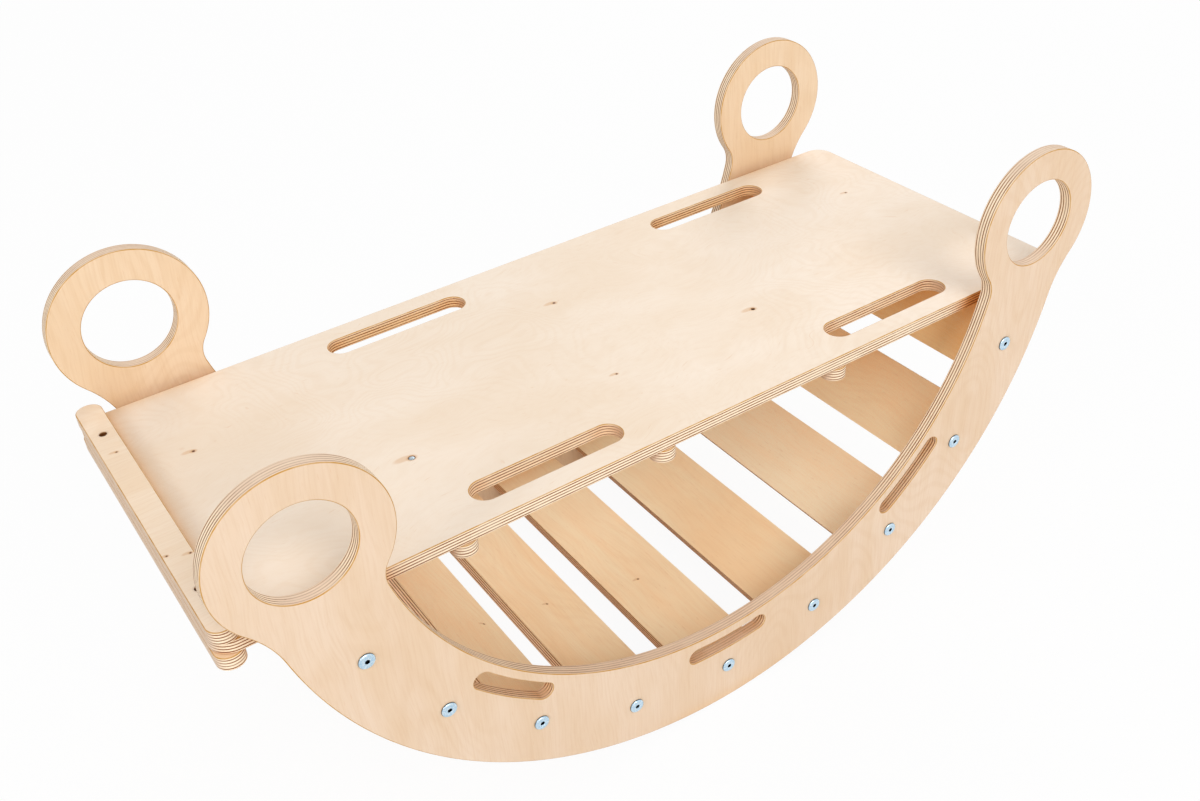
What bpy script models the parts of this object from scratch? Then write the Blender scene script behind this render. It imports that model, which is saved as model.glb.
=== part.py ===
"""Plywood rocker with nine cross slats and a lift-off board.

Two identical side panels, each a crescent runner that ends in two grip rings, stand 440 mm apart.
Nine slats join them, each held at both ends by one bolt, its barrel nut and two locating dowels.
A loose board with a batten above its left end and four rungs below lies on the two topmost slats.

Frame: metres, X along the rocker, Y across it (the near panel at -Y), Z up.
The origin is on the floor, midway between the panels, under the runners' lowest points.
"""
import math

import bmesh
import bpy
from mathutils import Matrix, Vector

# Fits

CLEARANCE = 0.0003              # gap between pieces that touch
CUTTER_PROUD = 0.001            # how far a cutter stands out of the face that it cuts

# Side panels

PANEL_THICKNESS = 0.015
PANEL_CLEAR_WIDTH = 0.440       # between the panels' inner faces
PANEL_SKIN = 0.005              # wood left outside a blind dowel hole
RUNNER_RADIUS = 0.494           # rocking edge
BOLT_EDGE_DISTANCE = 0.051      # rocking edge to the bolt circle
BOLT_SLOT_DISTANCE = 0.0285     # bolt circle to the nearer side of the hand slots
HAND_SLOT_WIDTH = 0.0195
HAND_SLOT_LENGTH = 0.107
HAND_SLOT_WALL = 0.012          # hand slot to the inner edge, at the bottom
INNER_CENTRE_RISE = 0.004       # centre of the inner arc above the runner's centre
RING_ANGLE = 86.03              # ring centres from straight down, in degrees
RING_CENTRE_INSET = 0.0545      # rocking edge's circle to the ring centres
RING_HOLE_RADIUS = 0.050
RING_WALL = 0.035
OUTER_FILLET = 0.120            # between the rocking edge and a ring
INNER_FILLET = 0.032            # between the inner arc and a ring

# Slats and what holds them

SLAT_COUNT = 9
SLAT_PITCH = 16.7               # degrees between neighbouring slats
HAND_SLOT_PITCHES = 2.5         # side hand slots from the middle one, in slat pitches
SLAT_WIDTH = 0.091
SLAT_THICKNESS = 0.015
SLAT_SKIN = 0.0022              # wood left above a barrel nut
DOWEL_RADIUS = 0.004            # dowels glued into the slat's ends
DOWEL_EDGE_DISTANCE = 0.0155    # dowel axis from the slat's long edge
BOLT_HEAD_RADIUS = 0.0085
BOLT_HEAD_HEIGHT = 0.002
BOLT_HEAD_BEVEL = 0.0008
BOLT_SHANK_RADIUS = 0.003
BOLT_PROJECTION = 0.0047        # bolt end past its barrel nut
SOCKET_RADIUS = 0.0023          # hexagonal, to its corners
SOCKET_DEPTH = 0.0014
NUT_RADIUS = 0.005
NUT_INSET = 0.035               # nut axis from the slat's end
NUT_RECESS = 0.001              # nut below the slat's outer face

# Board

BOARD_THICKNESS = 0.015
BOARD_GAP_NEAR = 0.0175         # board edge to the near panel
BOARD_GAP_FAR = 0.011           # board edge to the far panel
BOARD_OVERHANG_LEFT = 0.1046    # board end past the edge that carries it
BOARD_OVERHANG_RIGHT = 0.1021
BOARD_CORNER_RADIUS = 0.022
GRIP_SLOT_LENGTH = 0.173
GRIP_SLOT_WIDTH = 0.0325
GRIP_SLOT_WALL = 0.0262         # grip slot to the board's long edge
GRIP_SLOT_SPACING = 0.4515      # left pair to right pair

# Rungs below the board and the batten above its left end

RUNG_COUNT = 4
RUNG_WIDTH = 0.0275
RUNG_THICKNESS = 0.015
RUNG_OVERHANG = 0.002           # rounded rung end past the board's long edge
RUNG_FREE_RUN = 0.2364          # last rung's centre to the right edge that carries the board
BATTEN_SCREW_INSET = 0.063      # batten screw from the board's long edge
SCREW_HEAD_RADIUS = 0.0038
SCREW_HEAD_HEIGHT = 0.0026
SCREW_SHANK_RADIUS = 0.002
SCREW_POINT_LENGTH = 0.004
BATTEN_COUNTERBORE = 0.006      # depth of the screw heads' holes in the batten
RUNG_COUNTERBORE = 0.004        # depth of the screw heads' holes in the rungs
SCREW_BITE = 0.010              # screw in the last piece that it enters

# Facets

RUNNER_STEP = 5.0               # degrees, arcs of the runner
RING_STEP = 8.0                 # degrees, grip rings
FILLET_STEP = 10.0              # degrees, concave fillets
RING_HOLE_SIDES = 44
ROUND_END_SIDES = 8             # half circle at the end of a slot or a rung
CORNER_SIDES = 5                # quarter circle at a board corner
BOLT_SIDES = 12
PIN_SIDES = 8                   # bores, nuts, dowels and screws
SHARP_ANGLE = 50.0              # degrees, edges that stay sharp under smooth shading

# Derived sizes

BOLT_CIRCLE_RADIUS = RUNNER_RADIUS - BOLT_EDGE_DISTANCE
HAND_SLOT_OUTER = BOLT_CIRCLE_RADIUS - BOLT_SLOT_DISTANCE
HAND_SLOT_RADIUS = HAND_SLOT_OUTER - HAND_SLOT_WIDTH / 2
INNER_RADIUS = HAND_SLOT_OUTER - HAND_SLOT_WIDTH - HAND_SLOT_WALL + INNER_CENTRE_RISE
RING_RADIUS = RING_HOLE_RADIUS + RING_WALL
RING_CENTRE_RADIUS = RUNNER_RADIUS - RING_CENTRE_INSET
HALF_CLEAR_WIDTH = PANEL_CLEAR_WIDTH / 2
SLAT_END = HALF_CLEAR_WIDTH - CLEARANCE
DOWEL_OFFSET = SLAT_WIDTH / 2 - DOWEL_EDGE_DISTANCE
DOWEL_HOLE_DEPTH = PANEL_THICKNESS - PANEL_SKIN
DOWEL_TIP = HALF_CLEAR_WIDTH + DOWEL_HOLE_DEPTH - CLEARANCE
NUT_POSITION = SLAT_END - NUT_INSET
NUT_BOTTOM = -SLAT_THICKNESS / 2 + NUT_RECESS
NUT_HOLE_TOP = SLAT_THICKNESS / 2 - SLAT_SKIN
BOLT_SEAT = HALF_CLEAR_WIDTH + PANEL_THICKNESS + CLEARANCE
BOLT_END = NUT_POSITION - NUT_RADIUS - BOLT_PROJECTION
BOLT_BORE_RADIUS = (BOLT_SHANK_RADIUS + CLEARANCE) / math.cos(math.pi / PIN_SIDES)
SLAT_ANGLES = [math.radians(SLAT_PITCH) * (i - (SLAT_COUNT - 1) / 2) for i in range(SLAT_COUNT)]
HAND_SLOT_ANGLE = math.radians(SLAT_PITCH) * HAND_SLOT_PITCHES

# Colours, linear, and roughness

PLYWOOD_PANEL = (0.84, 0.66, 0.47)
PLYWOOD_BOARD = (0.88, 0.74, 0.60)
PLYWOOD_SLAT = (0.72, 0.50, 0.29)
ZINC = (0.52, 0.60, 0.68)
WOOD_ROUGHNESS = 0.55
ZINC_ROUGHNESS = 0.35


def clear_scene():
    """Empty the scene."""
    for leftover in list(bpy.data.objects):
        bpy.data.objects.remove(leftover)


def make_material(name, colour, roughness, metallic=0.0):
    """Principled material with one plain colour."""
    material = bpy.data.materials.new(name)
    material.use_nodes = True
    shader = material.node_tree.nodes["Principled BSDF"]
    shader.inputs["Base Color"].default_value = (*colour, 1.0)
    shader.inputs["Roughness"].default_value = roughness
    shader.inputs["Metallic"].default_value = metallic
    return material


def object_from(name, bm):
    """Object from a bmesh of closed bodies, with its faces turned outwards."""
    bmesh.ops.recalc_face_normals(bm, faces=bm.faces)
    mesh = bpy.data.meshes.new(name)
    bm.to_mesh(mesh)
    bm.free()
    obj = bpy.data.objects.new(name, mesh)
    bpy.context.scene.collection.objects.link(obj)
    return obj


def finished_mesh(name, bm, material, joined=None, cuts=()):
    """Mesh of one piece: its body, joined with another shape and cut by others, all in its own frame."""
    body = object_from(name, bm)
    helpers = [body]
    steps = [("DIFFERENCE", cut) for cut in cuts]
    if joined:
        steps.insert(0, ("UNION", joined))
    for operation, tool in steps:
        helper = object_from(name, tool)
        helpers.append(helper)
        modifier = body.modifiers.new(operation, "BOOLEAN")
        modifier.operation = operation
        modifier.solver = "EXACT"
        modifier.object = helper
    graph = bpy.context.evaluated_depsgraph_get()
    mesh = bpy.data.meshes.new_from_object(body.evaluated_get(graph))
    for helper in helpers:
        bpy.data.objects.remove(helper)
    mesh.materials.clear()
    mesh.materials.append(material)
    mesh.shade_smooth()
    mesh.set_sharp_from_angle(angle=math.radians(SHARP_ANGLE))
    return mesh


def place(name, mesh, matrix, parent=None):
    """Named object at a place given in world coordinates. A parent is never turned."""
    obj = bpy.data.objects.new(name, mesh)
    bpy.context.scene.collection.objects.link(obj)
    obj.matrix_basis = matrix
    if parent:
        obj.parent = parent
        obj.matrix_basis = Matrix.Translation(-parent.location) @ matrix
    return obj


def polar(angle, radius):
    """Point at an angle from straight down, turning towards +X, about the runner's centre."""
    return Vector((radius * math.sin(angle), -radius * math.cos(angle)))


def heading(centre, point):
    """Direction from centre to point as an angle."""
    return math.atan2(point.y - centre.y, point.x - centre.x)


def arc(centre, radius, start, end, steps):
    """Points along an arc from the angle start to the angle end, both included."""
    turn = (end - start) / steps
    angles = [start + turn * i for i in range(steps + 1)]
    return [centre + radius * Vector((math.cos(a), math.sin(a))) for a in angles]


def circle(centre, radius, sides):
    """Closed loop of points round a centre."""
    return arc(centre, radius, 0, 2 * math.pi, sides)[:-1]


def steps_for(angle, step):
    """Number of facets for an angle in radians, with facets of about step degrees."""
    return max(1, math.ceil(abs(math.degrees(angle)) / step))


def fillet_centre(centre_a, reach_a, centre_b, reach_b):
    """Point reach_a from centre_a and reach_b from centre_b, on the lower side of the line between."""
    between = centre_b - centre_a
    span = between.length
    along = (reach_a ** 2 - reach_b ** 2 + span ** 2) / (2 * span)
    aside = math.sqrt(max(reach_a ** 2 - along ** 2, 0.0))
    direction = between / span
    return centre_a + along * direction - aside * Vector((-direction.y, direction.x))


def panel_outline():
    """Outer edge of a side panel about the runner's centre, counter-clockwise from the lower left."""
    runner = Vector((0.0, 0.0))
    inner = Vector((0.0, INNER_CENTRE_RISE))
    ring = polar(math.radians(RING_ANGLE), RING_CENTRE_RADIUS)
    outer_fillet = fillet_centre(runner, RUNNER_RADIUS + OUTER_FILLET, ring, RING_RADIUS + OUTER_FILLET)
    inner_fillet = fillet_centre(inner, INNER_RADIUS - INNER_FILLET, ring, RING_RADIUS + INNER_FILLET)

    runner_end = heading(runner, outer_fillet)
    half_span = runner_end + math.pi / 2
    facets = 2 * steps_for(half_span, RUNNER_STEP) - 1
    rocking_edge = arc(runner, RUNNER_RADIUS, -math.pi - runner_end, runner_end, facets)

    fillet_start = heading(outer_fillet, runner)
    fillet_turn = heading(outer_fillet, ring) - fillet_start % (2 * math.pi)
    outer = arc(outer_fillet, OUTER_FILLET, fillet_start, fillet_start + fillet_turn,
                steps_for(fillet_turn, FILLET_STEP))

    ring_start = heading(ring, outer_fillet)
    ring_end = heading(ring, inner_fillet) % (2 * math.pi)
    grip = arc(ring, RING_RADIUS, ring_start, ring_end, steps_for(ring_end - ring_start, RING_STEP))

    inner_end = heading(inner, inner_fillet)
    waist_start = heading(inner_fillet, ring)
    waist_turn = inner_end - waist_start
    waist = arc(inner_fillet, INNER_FILLET, waist_start, waist_start + waist_turn,
                steps_for(waist_turn, FILLET_STEP))

    inner_span = inner_end + math.pi / 2
    cradle = arc(inner, INNER_RADIUS, inner_end, -math.pi - inner_end, 2 * steps_for(inner_span, RUNNER_STEP))

    right = outer[1:] + grip[1:] + waist[1:]
    left = [Vector((-p.x, p.y)) for p in reversed(outer[:-1] + grip[:-1] + waist[:-1])]
    return rocking_edge + right + cradle[1:] + left[:-1]


OUTLINE = panel_outline()
CENTRE_HEIGHT = -min(point.y for point in OUTLINE)


def hand_slot(angle):
    """Slot with round ends that follows the runner's curve, its middle at the angle."""
    half_width = HAND_SLOT_WIDTH / 2
    reach = (HAND_SLOT_LENGTH - HAND_SLOT_WIDTH) / 2 / HAND_SLOT_RADIUS
    middle = angle - math.pi / 2
    runner = Vector((0.0, 0.0))
    steps = steps_for(2 * reach, RUNNER_STEP / 2)
    outer = arc(runner, HAND_SLOT_RADIUS + half_width, middle - reach, middle + reach, steps)
    inner = arc(runner, HAND_SLOT_RADIUS - half_width, middle + reach, middle - reach, steps)
    right_end = arc(polar(angle + reach, HAND_SLOT_RADIUS), half_width,
                    middle + reach, middle + reach + math.pi, ROUND_END_SIDES)
    left_end = arc(polar(angle - reach, HAND_SLOT_RADIUS), half_width,
                   middle - reach + math.pi, middle - reach + 2 * math.pi, ROUND_END_SIDES)
    return outer[:-1] + right_end[:-1] + inner[:-1] + left_end[:-1]


def stadium(centre, length, width, along):
    """Loop with two parallel sides and round ends, its length along the unit vector along."""
    reach = (length - width) / 2
    turn = math.atan2(along.y, along.x)
    start = arc(centre + reach * along, width / 2, turn - math.pi / 2, turn + math.pi / 2, ROUND_END_SIDES)
    end = arc(centre - reach * along, width / 2, turn + math.pi / 2, turn + 1.5 * math.pi, ROUND_END_SIDES)
    return start + end


def rounded_rectangle(low, high, radius):
    """Loop of a rectangle with round corners."""
    corners = [(high.x - radius, low.y + radius, -0.5), (high.x - radius, high.y - radius, 0.0),
               (low.x + radius, high.y - radius, 0.5), (low.x + radius, low.y + radius, 1.0)]
    loop = []
    for x, y, start in corners:
        loop += arc(Vector((x, y)), radius, start * math.pi, (start + 0.5) * math.pi, CORNER_SIDES)
    return loop


def plate(outline, holes, thickness):
    """Flat plate from z = 0 up to its thickness, with holes right through."""
    bm = bmesh.new()
    edges = []
    for loop in [outline] + holes:
        verts = [bm.verts.new((p.x, p.y, 0.0)) for p in loop]
        edges += [bm.edges.new((verts[i - 1], verts[i])) for i in range(len(verts))]
    bmesh.ops.triangle_fill(bm, edges=edges, use_beauty=True, use_dissolve=False, normal=(0, 0, 1))
    grown = bmesh.ops.extrude_face_region(bm, geom=list(bm.faces), use_keep_orig=True)
    top = [item for item in grown["geom"] if isinstance(item, bmesh.types.BMVert)]
    bmesh.ops.translate(bm, verts=top, vec=(0, 0, thickness))
    return bm


def revolve(bm, profile, sides, matrix):
    """Add a closed turned solid. A profile row is radius, height and corners, 0 corners for round."""
    levels = []
    for radius, height, corners in profile:
        if radius == 0:
            levels.append([bm.verts.new(matrix @ Vector((0, 0, height)))])
            continue
        ring = []
        for i in range(sides):
            angle = 2 * math.pi * i / sides
            reach = radius
            if corners:
                sector = 2 * math.pi / corners
                reach = radius * math.cos(sector / 2) / math.cos(angle % sector - sector / 2)
            point = Vector((reach * math.cos(angle), reach * math.sin(angle), height))
            ring.append(bm.verts.new(matrix @ point))
        levels.append(ring)
    for lower, upper in zip(levels, levels[1:]):
        for i in range(sides):
            j = (i + 1) % sides
            face = [lower[i % len(lower)], lower[j % len(lower)]]
            face += [upper[j % len(upper)], upper[i % len(upper)]]
            bm.faces.new(list(dict.fromkeys(face)))


def pins(radius, low, high, frames):
    """Plain cylinders, one in each frame, from the height low to the height high."""
    bm = bmesh.new()
    for frame in frames:
        revolve(bm, [(0, low, 0), (radius, low, 0), (radius, high, 0), (0, high, 0)], PIN_SIDES, frame)
    return bm


def upright(x, y, z=0.0):
    """Frame with Z up."""
    return Matrix.Translation((x, y, z))


def upside_down(x, y, z=0.0):
    """Frame with Z down."""
    return Matrix.Translation((x, y, z)) @ Matrix.Rotation(math.pi, 4, "X")


def across(side, x=0.0):
    """Frame with Z along +Y or -Y."""
    return Matrix.Translation((x, 0, 0)) @ Matrix.Rotation(-side * math.pi / 2, 4, "X")


def slat_frame(angle):
    """World frame of a slat: X across its width, Y along it, Z towards the runner's centre."""
    middle = polar(angle, BOLT_CIRCLE_RADIUS)
    return upright(middle.x, 0.0, middle.y + CENTRE_HEIGHT) @ Matrix.Rotation(-angle, 4, "Y")


# Places of the board and its pieces, worked out from the slats' edges that carry it

CARRYING_EDGE = slat_frame(SLAT_ANGLES[-1]) @ Vector((SLAT_WIDTH / 2, 0.0, SLAT_THICKNESS / 2))
BOARD_BOTTOM = CARRYING_EDGE.z + CLEARANCE
BOARD_LOW = Vector((-CARRYING_EDGE.x - BOARD_OVERHANG_LEFT, -HALF_CLEAR_WIDTH + BOARD_GAP_NEAR))
BOARD_HIGH = Vector((CARRYING_EDGE.x + BOARD_OVERHANG_RIGHT, HALF_CLEAR_WIDTH - BOARD_GAP_FAR))
BOARD_MIDDLE = (BOARD_LOW + BOARD_HIGH) / 2
BOARD_HALF_WIDTH = (BOARD_HIGH.y - BOARD_LOW.y) / 2
FIRST_RUNG_X = BOARD_LOW.x + RUNG_WIDTH / 2
LAST_RUNG_X = CARRYING_EDGE.x - RUNG_FREE_RUN
RUNG_PITCH = (LAST_RUNG_X - FIRST_RUNG_X) / (RUNG_COUNT - 1)
RUNG_XS = [FIRST_RUNG_X + RUNG_PITCH * i for i in range(RUNG_COUNT)]
RUNG_BOTTOM = BOARD_BOTTOM - CLEARANCE - RUNG_THICKNESS
BATTEN_BOTTOM = BOARD_BOTTOM + BOARD_THICKNESS + CLEARANCE
BATTEN_SCREW_Y = BOARD_HALF_WIDTH - BATTEN_SCREW_INSET
BATTEN_SCREW_SPAN = RUNG_THICKNESS - BATTEN_COUNTERBORE + BOARD_THICKNESS + 2 * CLEARANCE
RUNG_SCREW_SPAN = RUNG_THICKNESS - RUNG_COUNTERBORE + CLEARANCE
SCREW_BORE_RADIUS = SCREW_SHANK_RADIUS + CLEARANCE
HEAD_BORE_RADIUS = SCREW_HEAD_RADIUS + CLEARANCE


def panel_mesh(material):
    """Side panel in the XY plane, its inner face at z = 0 with the blind holes for the dowels."""
    ring = polar(math.radians(RING_ANGLE), RING_CENTRE_RADIUS)
    holes = [circle(ring, RING_HOLE_RADIUS, RING_HOLE_SIDES)]
    holes.append(circle(Vector((-ring.x, ring.y)), RING_HOLE_RADIUS, RING_HOLE_SIDES))
    holes += [hand_slot(angle) for angle in (-HAND_SLOT_ANGLE, 0.0, HAND_SLOT_ANGLE)]
    dowel_frames = []
    for angle in SLAT_ANGLES:
        middle = polar(angle, BOLT_CIRCLE_RADIUS)
        tangent = Vector((math.cos(angle), math.sin(angle)))
        holes.append(circle(middle, BOLT_BORE_RADIUS, PIN_SIDES))
        for spot in (middle - DOWEL_OFFSET * tangent, middle + DOWEL_OFFSET * tangent):
            dowel_frames.append(upright(*spot) @ Matrix.Rotation(angle, 4, "Z"))
    dowel_holes = pins(DOWEL_RADIUS + CLEARANCE, -CUTTER_PROUD, DOWEL_HOLE_DEPTH, dowel_frames)
    return finished_mesh("side_panel", plate(OUTLINE, holes, PANEL_THICKNESS), material, cuts=[dowel_holes])


def slat_mesh(material):
    """Slat with its glued-in dowels, bored in both ends for the bolts and from below for the nuts."""
    bm = bmesh.new()
    size = Matrix.Diagonal((SLAT_WIDTH, 2 * SLAT_END, SLAT_THICKNESS, 1.0))
    bmesh.ops.create_cube(bm, size=1.0, matrix=size)
    dowels = pins(DOWEL_RADIUS, -DOWEL_TIP, DOWEL_TIP,
                  [across(1, -DOWEL_OFFSET), across(1, DOWEL_OFFSET)])
    bolt_bores = pins(BOLT_BORE_RADIUS, BOLT_END - CLEARANCE, SLAT_END + CUTTER_PROUD,
                      [across(-1), across(1)])
    nut_holes = pins(NUT_RADIUS + CLEARANCE, -SLAT_THICKNESS / 2 - CUTTER_PROUD, NUT_HOLE_TOP,
                     [upright(0, -NUT_POSITION), upright(0, NUT_POSITION)])
    return finished_mesh("slat", bm, material, joined=dowels, cuts=[bolt_bores, nut_holes])


def bolt_mesh(material):
    """Flat-headed bolt along Z, with the mid-plane of the rocker at z = 0."""
    head_top = BOLT_SEAT + BOLT_HEAD_HEIGHT
    profile = [(0, head_top - SOCKET_DEPTH, 0),
               (SOCKET_RADIUS, head_top - SOCKET_DEPTH, 6),
               (SOCKET_RADIUS, head_top, 6),
               (BOLT_HEAD_RADIUS - BOLT_HEAD_BEVEL, head_top, 0),
               (BOLT_HEAD_RADIUS, head_top - BOLT_HEAD_BEVEL, 0),
               (BOLT_HEAD_RADIUS, BOLT_SEAT, 0),
               (BOLT_SHANK_RADIUS, BOLT_SEAT, 0),
               (BOLT_SHANK_RADIUS, BOLT_END, 0),
               (0, BOLT_END, 0)]
    bm = bmesh.new()
    revolve(bm, profile, BOLT_SIDES, Matrix.Identity(4))
    return finished_mesh("side_bolt", bm, material)


def nut_mesh(material):
    """Barrel nut along Z, cross-bored along Y for its bolt."""
    barrel = pins(NUT_RADIUS, NUT_BOTTOM, NUT_HOLE_TOP - CLEARANCE, [upright(0, 0)])
    bore = pins(BOLT_BORE_RADIUS, -2 * NUT_RADIUS, 2 * NUT_RADIUS, [across(1)])
    return finished_mesh("barrel_nut", barrel, material, cuts=[bore])


def screw_mesh(name, span, material):
    """Screw pointing down, its seat at z = 0, that bites past a span of wood."""
    point = -span - SCREW_BITE
    profile = [(0, CLEARANCE + SCREW_HEAD_HEIGHT, 0),
               (SCREW_HEAD_RADIUS, CLEARANCE + SCREW_HEAD_HEIGHT, 0),
               (SCREW_HEAD_RADIUS, CLEARANCE, 0),
               (SCREW_SHANK_RADIUS, CLEARANCE, 0),
               (SCREW_SHANK_RADIUS, point + SCREW_POINT_LENGTH, 0),
               (0, point, 0)]
    bm = bmesh.new()
    revolve(bm, profile, PIN_SIDES, Matrix.Identity(4))
    return finished_mesh(name, bm, material)


def board_mesh(material):
    """Board about its middle, its underside at z = 0, with four grip slots and the screws' bores."""
    outline = rounded_rectangle(BOARD_LOW - BOARD_MIDDLE, BOARD_HIGH - BOARD_MIDDLE, BOARD_CORNER_RADIUS)
    left = (RUNG_XS[1] + RUNG_XS[2]) / 2 - BOARD_MIDDLE.x
    slot_y = BOARD_HALF_WIDTH - GRIP_SLOT_WALL - GRIP_SLOT_WIDTH / 2
    along = Vector((1.0, 0.0))
    holes = []
    for x in (left, left + GRIP_SLOT_SPACING):
        for y in (-slot_y, slot_y):
            holes.append(stadium(Vector((x, y)), GRIP_SLOT_LENGTH, GRIP_SLOT_WIDTH, along))
    for y in (-BATTEN_SCREW_Y, BATTEN_SCREW_Y):
        holes.append(circle(Vector((FIRST_RUNG_X - BOARD_MIDDLE.x, y)), SCREW_BORE_RADIUS, PIN_SIDES))
    bores = pins(SCREW_BORE_RADIUS, -CUTTER_PROUD, SCREW_BITE + CLEARANCE,
                 [upright(x - BOARD_MIDDLE.x, 0) for x in RUNG_XS[1:]])
    return finished_mesh("board", plate(outline, holes, BOARD_THICKNESS), material, cuts=[bores])


def bar_mesh(name, material, cuts):
    """Bar across the board with round ends in plan, its underside at z = 0."""
    length = 2 * (BOARD_HALF_WIDTH + RUNG_OVERHANG)
    outline = stadium(Vector((0.0, 0.0)), length, RUNG_WIDTH, Vector((0.0, 1.0)))
    return finished_mesh(name, plate(outline, [], RUNG_THICKNESS), material, cuts=cuts)


def batten_mesh(material):
    """Batten, bored through and counterbored from above for its two screws."""
    seat = RUNG_THICKNESS - BATTEN_COUNTERBORE
    spots = [upright(0, -BATTEN_SCREW_Y), upright(0, BATTEN_SCREW_Y)]
    bores = pins(SCREW_BORE_RADIUS, -CUTTER_PROUD, RUNG_THICKNESS, spots)
    heads = pins(HEAD_BORE_RADIUS, seat, RUNG_THICKNESS + CUTTER_PROUD, spots)
    return bar_mesh("top_batten", material, [bores, heads])


def end_rung_mesh(material):
    """Rung under the board's left end, bored blind from above for the batten's screws."""
    spots = [upright(0, -BATTEN_SCREW_Y), upright(0, BATTEN_SCREW_Y)]
    low = RUNG_THICKNESS - SCREW_BITE - CLEARANCE
    bores = pins(SCREW_BORE_RADIUS, low, RUNG_THICKNESS + CUTTER_PROUD, spots)
    return bar_mesh("end_rung", material, [bores])


def rung_mesh(material):
    """Rung that one screw at its middle holds from below."""
    bore = pins(SCREW_BORE_RADIUS, 0, RUNG_THICKNESS + CUTTER_PROUD, [upright(0, 0)])
    head = pins(HEAD_BORE_RADIUS, -CUTTER_PROUD, RUNG_COUNTERBORE, [upright(0, 0)])
    return bar_mesh("rung", material, [bore, head])


def build_rocker():
    """The standing frame: panels, slats, bolts and barrel nuts."""
    panel_wood = make_material("plywood_panel", PLYWOOD_PANEL, WOOD_ROUGHNESS)
    slat_wood = make_material("plywood_slat", PLYWOOD_SLAT, WOOD_ROUGHNESS)
    zinc = make_material("zinc_steel", ZINC, ZINC_ROUGHNESS, 1.0)
    panel = panel_mesh(panel_wood)
    near = upright(0, -HALF_CLEAR_WIDTH, CENTRE_HEIGHT) @ Matrix.Rotation(math.pi / 2, 4, "X")
    place("side_panel_near", panel, near)
    place("side_panel_far", panel, Matrix.Rotation(math.pi, 4, "Z") @ near)
    slat = slat_mesh(slat_wood)
    bolt = bolt_mesh(zinc)
    nut = nut_mesh(zinc)
    for i, angle in enumerate(SLAT_ANGLES, start=1):
        frame = slat_frame(angle)
        place(f"slat_{i}", slat, frame)
        for word, side in (("near", -1), ("far", 1)):
            place(f"side_bolt_{word}_{i}", bolt, frame @ across(side))
            place(f"barrel_nut_{word}_{i}", nut, frame @ upright(0, side * NUT_POSITION))


def build_board():
    """The lift-off board, its batten, its rungs and their screws, under one parent."""
    wood = make_material("plywood_board", PLYWOOD_BOARD, WOOD_ROUGHNESS)
    screw_steel = make_material("screw_steel", ZINC, ZINC_ROUGHNESS, 1.0)
    lift = bpy.data.objects.new("board_lift", None)
    lift.location = (BOARD_MIDDLE.x, BOARD_MIDDLE.y, BOARD_BOTTOM)
    bpy.context.scene.collection.objects.link(lift)
    y = BOARD_MIDDLE.y
    place("board", board_mesh(wood), upright(BOARD_MIDDLE.x, y, BOARD_BOTTOM), lift)
    place("top_batten", batten_mesh(wood), upright(FIRST_RUNG_X, y, BATTEN_BOTTOM), lift)
    place("rung_1", end_rung_mesh(wood), upright(FIRST_RUNG_X, y, RUNG_BOTTOM), lift)
    batten_screw = screw_mesh("batten_screw", BATTEN_SCREW_SPAN, screw_steel)
    seat = BATTEN_BOTTOM + RUNG_THICKNESS - BATTEN_COUNTERBORE
    for word, side in (("near", -1), ("far", 1)):
        spot = upright(FIRST_RUNG_X, y + side * BATTEN_SCREW_Y, seat)
        place(f"batten_screw_{word}", batten_screw, spot, lift)
    rung = rung_mesh(wood)
    rung_screw = screw_mesh("rung_screw", RUNG_SCREW_SPAN, screw_steel)
    for i, x in enumerate(RUNG_XS[1:], start=2):
        place(f"rung_{i}", rung, upright(x, y, RUNG_BOTTOM), lift)
        place(f"rung_screw_{i}", rung_screw, upside_down(x, y, RUNG_BOTTOM + RUNG_COUNTERBORE), lift)


clear_scene()
build_rocker()
build_board()
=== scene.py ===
"""Looks of a plywood rocker: birch plywood with its plies, zinc-plated bolts and a pale studio.

Every wooden piece is built about its own middle, with its plies stacked along its own Z.
Lengths are in metres and angles in degrees, unless a name says otherwise.
"""

import math
from collections import namedtuple

import bmesh
import bpy
from mathutils import Matrix, Vector


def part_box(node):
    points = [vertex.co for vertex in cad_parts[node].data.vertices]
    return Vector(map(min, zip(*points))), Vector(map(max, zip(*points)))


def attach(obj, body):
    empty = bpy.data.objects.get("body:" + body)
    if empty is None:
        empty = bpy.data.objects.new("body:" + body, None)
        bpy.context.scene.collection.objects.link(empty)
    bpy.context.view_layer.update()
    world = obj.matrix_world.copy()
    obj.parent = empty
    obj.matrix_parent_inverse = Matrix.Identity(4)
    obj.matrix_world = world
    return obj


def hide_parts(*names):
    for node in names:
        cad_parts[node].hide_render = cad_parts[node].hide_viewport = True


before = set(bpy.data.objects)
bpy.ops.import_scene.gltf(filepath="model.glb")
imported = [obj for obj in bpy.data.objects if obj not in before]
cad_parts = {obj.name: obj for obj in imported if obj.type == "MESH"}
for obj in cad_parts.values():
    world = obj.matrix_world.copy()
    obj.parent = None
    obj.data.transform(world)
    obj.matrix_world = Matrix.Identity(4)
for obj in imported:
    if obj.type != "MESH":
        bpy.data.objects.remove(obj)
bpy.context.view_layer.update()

# Rocker

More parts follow.
